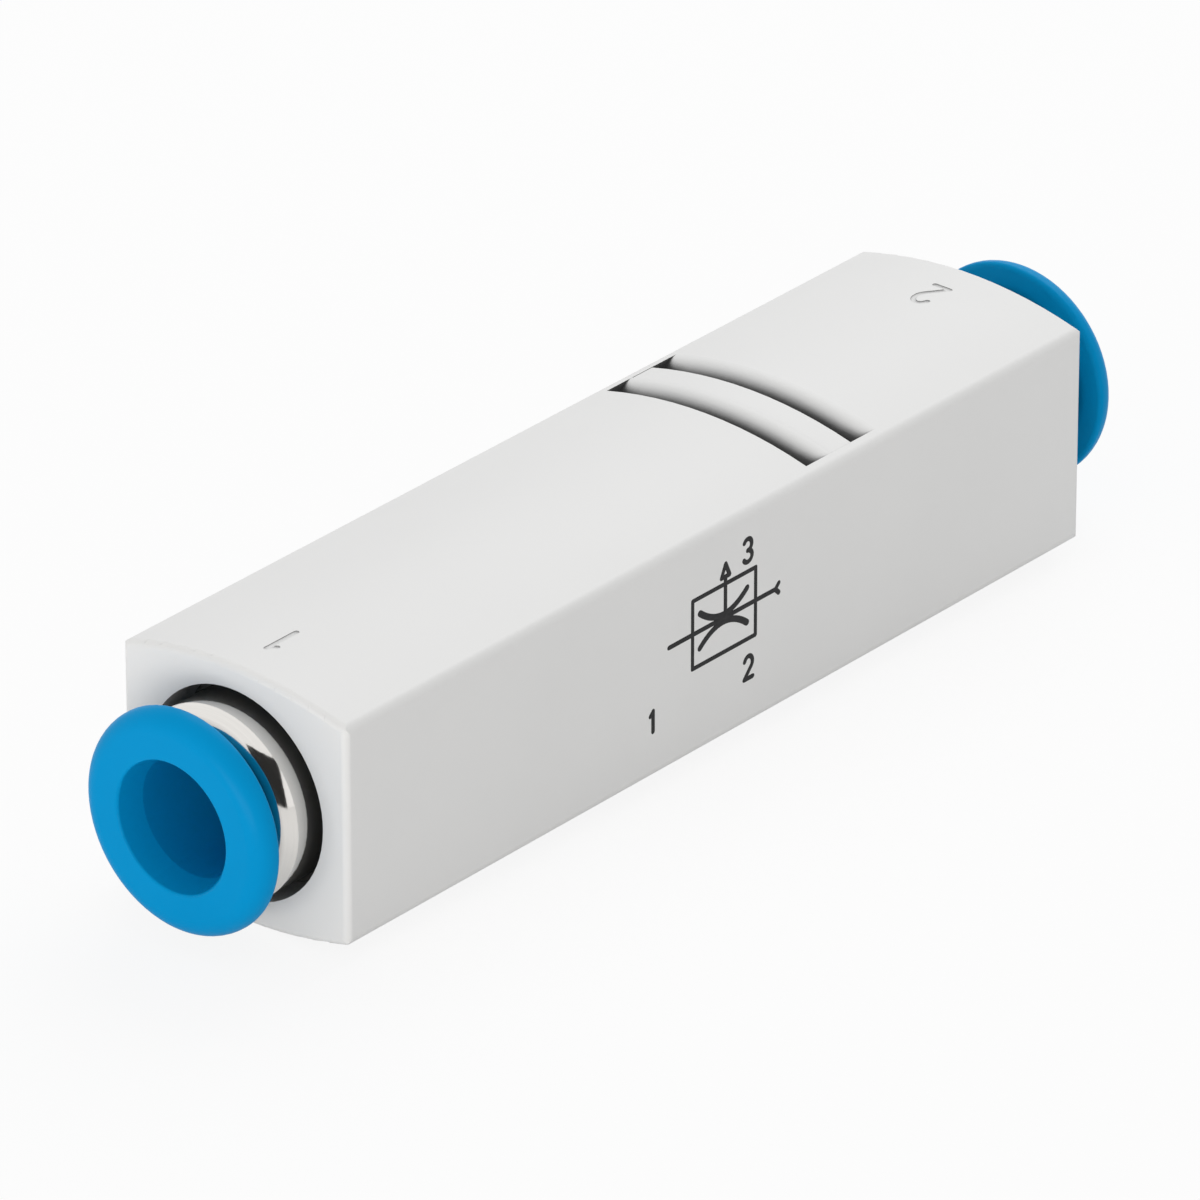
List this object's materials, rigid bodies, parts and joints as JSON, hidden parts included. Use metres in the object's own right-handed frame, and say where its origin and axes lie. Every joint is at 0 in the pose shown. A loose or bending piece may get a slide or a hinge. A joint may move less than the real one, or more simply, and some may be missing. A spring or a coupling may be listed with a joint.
{
  "type": "vacuum ejector",
  "caption": "In-line vacuum ejector: slim moulded body with a push-in tube port at each end and two louvre exhaust slots in its crowned top.",
  "frame": {"origin": "centre of the housing, on the axis that both tube ports share", "axes": "+X from the supply port towards the vacuum port, +Z towards the crowned top with the exhaust slots, -Y is the side that carries the printed symbol"},
  "size_m": [0.064, 0.014, 0.0135],
  "materials": {
    "housing_plastic": "fine moulded",
    "nickel_plating": "bright nickel",
    "ring_plastic": "satin moulded",
    "spring_steel": "bright rolled",
    "support_brass": "turned",
    "seal_rubber": "matte",
    "seat_plastic": "moulded",
    "nozzle_aluminium": "turned",
    "receiver_plastic": "moulded",
    "silencer_plastic": "porous"
  },
  "bodies": {
    "ejector_body": {"housing": "housing_plastic", "sleeve_p": "nickel_plating", "sleeve_v": "nickel_plating", "sleeve_oring_p": "seal_rubber", "sleeve_oring_v": "seal_rubber", "claw_ring_p": "spring_steel", "claw_ring_v": "spring_steel", "support_ring_p": "support_brass", "support_ring_v": "support_brass", "tube_seal_p": "seal_rubber", "tube_seal_v": "seal_rubber", "tube_seat_p": "seat_plastic", "tube_seat_v": "seat_plastic", "jet_nozzle": "nozzle_aluminium", "nozzle_oring": "seal_rubber", "receiver_nozzle": "receiver_plastic", "receiver_oring_front": "seal_rubber", "receiver_oring_rear": "seal_rubber", "silencer": "silencer_plastic"},
    "release_ring_p": {"release_ring_p": "ring_plastic"},
    "release_ring_v": {"release_ring_v": "ring_plastic"}
  },
  "joints": [
    {"name": "release_press_p", "type": "slide", "parent": "ejector_body", "child": "release_ring_p", "axis": [1, 0, 0], "range_m": [0, 0.001]},
    {"name": "release_press_v", "type": "slide", "parent": "ejector_body", "child": "release_ring_v", "axis": [-1, 0, 0], "range_m": [0, 0.001]}
  ]
}
